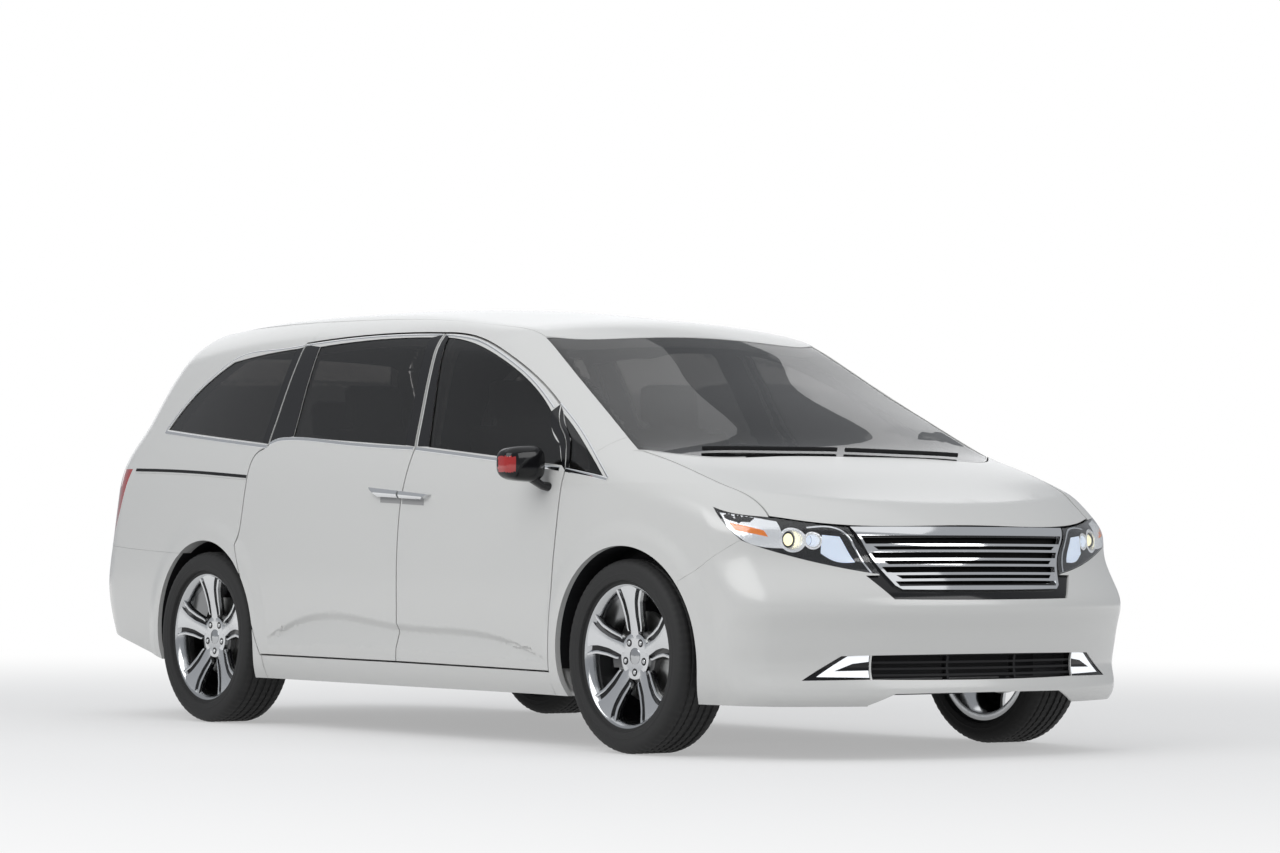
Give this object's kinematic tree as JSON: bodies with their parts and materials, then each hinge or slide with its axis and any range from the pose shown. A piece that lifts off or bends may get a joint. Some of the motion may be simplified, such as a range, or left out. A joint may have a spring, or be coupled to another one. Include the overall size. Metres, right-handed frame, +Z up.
{
  "type": "minivan",
  "caption": "Full-size minivan with hinged front doors, bonnet and tailgate, sliding rear doors and steered front wheels.",
  "frame": {"origin": "on the ground, midway along and across the body", "axes": "+X forward along the length, +Y to the left, +Z up"},
  "size_m": [5.1497, 2.3292, 1.7446],
  "materials": {
    "paint": "gloss pearl white",
    "glass": "dark tint",
    "lens": "clear",
    "red_lens": "red",
    "chrome": "bright",
    "black_plastic": "grained",
    "gloss_black": "gloss",
    "lamp_white": "bright",
    "black_steel": "satin black",
    "steel": "satin",
    "iron": "rough",
    "alloy": "machined",
    "rubber": "matt",
    "fabric": "woven",
    "trim": "soft"
  },
  "bodies": {
    "vehicle": {"body_side_left": "paint", "body_side_right": "paint", "quarter_panel_left": "paint", "quarter_panel_right": "paint", "sliding_door_left": "paint", "sliding_door_right": "paint", "front_wing_left": "paint", "front_wing_right": "paint", "sliding_door_windows": "glass", "fixed_side_windows": "glass", "headlamp_lenses": "lens", "headlamp_units": "black_plastic", "tail_lamps": "red_lens", "fog_lamps": "lamp_white", "door_hinges_and_strikers": "steel", "windscreen": "glass", "roof": "paint", "cowl": "black_plastic", "front_bumper": "paint", "rear_bumper": "paint", "radiator_grille": "chrome", "grille_surround": "gloss_black", "air_dam": "black_plastic", "floor_pan": "black_steel", "chassis_rails": "black_steel", "front_subframe": "black_steel", "rear_axle": "black_steel", "engine": "iron", "radiator": "steel", "fuel_tank": "black_plastic", "exhaust": "steel", "dashboard": "trim", "steering_column": "trim", "seats": "fabric"},
    "front_door_assembly_left": {"front_door_left": "paint", "front_door_window_left": "glass", "mirror_left": "paint"},
    "steering_knuckle_left": {"knuckle_left": "iron"},
    "wheel_front_left": {"rim_front_left": "alloy", "tyre_front_left": "rubber"},
    "wheel_rear_left": {"rim_rear_left": "alloy", "tyre_rear_left": "rubber"},
    "front_door_assembly_right": {"front_door_right": "paint", "front_door_window_right": "glass", "mirror_right": "paint"},
    "steering_knuckle_right": {"knuckle_right": "iron"},
    "wheel_front_right": {"rim_front_right": "alloy", "tyre_front_right": "rubber"},
    "wheel_rear_right": {"rim_rear_right": "alloy", "tyre_rear_right": "rubber"},
    "bonnet_lid": {"bonnet": "paint"},
    "tailgate_lid": {"tailgate": "paint", "tailgate_window": "glass"},
    "steering_control": {"steering_wheel": "trim"}
  },
  "joints": [
    {"name": "front_door_left_hinge", "type": "hinge", "parent": "vehicle", "child": "front_door_assembly_left", "pos_m": [1.124, 0.978, 0.45], "axis": [-0.0976, 0.0195, -0.995], "range_deg": [0, 65]},
    {"name": "front_door_right_hinge", "type": "hinge", "parent": "vehicle", "child": "front_door_assembly_right", "pos_m": [1.124, -0.978, 0.45], "axis": [0.0976, 0.0195, 0.995], "range_deg": [0, 65]},
    {"name": "bonnet_hinge", "type": "hinge", "parent": "vehicle", "child": "bonnet_lid", "pos_m": [1.595, 0, 1.115], "axis": [0, -1, 0], "range_deg": [0, 48]},
    {"name": "tailgate_hinge", "type": "hinge", "parent": "vehicle", "child": "tailgate_lid", "pos_m": [-2.1, 0, 1.548], "axis": [0, 1, 0], "range_deg": [0, 80]},
    {"name": "steer_left", "type": "hinge", "parent": "vehicle", "child": "steering_knuckle_left", "pos_m": [1.64, 0.805, 0.205], "axis": [0, -0.2177, 0.976], "range_deg": [-33, 33]},
    {"name": "steer_right", "type": "hinge", "parent": "vehicle", "child": "steering_knuckle_right", "pos_m": [1.64, -0.805, 0.205], "axis": [0, 0.2177, 0.976], "range_deg": [-33, 33]},
    {"name": "steering_wheel_turn", "type": "hinge", "parent": "vehicle", "child": "steering_control", "pos_m": [0.85, 0.38, 0.955], "axis": [-0.9063, 0, 0.4226], "range_deg": [-528, 528]},
    {"name": "wheel_front_left_spin", "type": "hinge", "parent": "steering_knuckle_left", "child": "wheel_front_left", "pos_m": [1.64, 0.867, 0.36], "axis": [0, 1, 0], "continuous": true},
    {"name": "wheel_front_right_spin", "type": "hinge", "parent": "steering_knuckle_right", "child": "wheel_front_right", "pos_m": [1.64, -0.867, 0.36], "axis": [0, 1, 0], "continuous": true},
    {"name": "wheel_rear_left_spin", "type": "hinge", "parent": "vehicle", "child": "wheel_rear_left", "pos_m": [-1.36, 0.867, 0.36], "axis": [0, 1, 0], "continuous": true},
    {"name": "wheel_rear_right_spin", "type": "hinge", "parent": "vehicle", "child": "wheel_rear_right", "pos_m": [-1.36, -0.867, 0.36], "axis": [0, 1, 0], "continuous": true}
  ],
  "couplings": [
    {"joint": "steer_right", "follows": "steer_left", "ratio": 1},
    {"joint": "steering_wheel_turn", "follows": "steer_left", "ratio": 16}
  ]
}
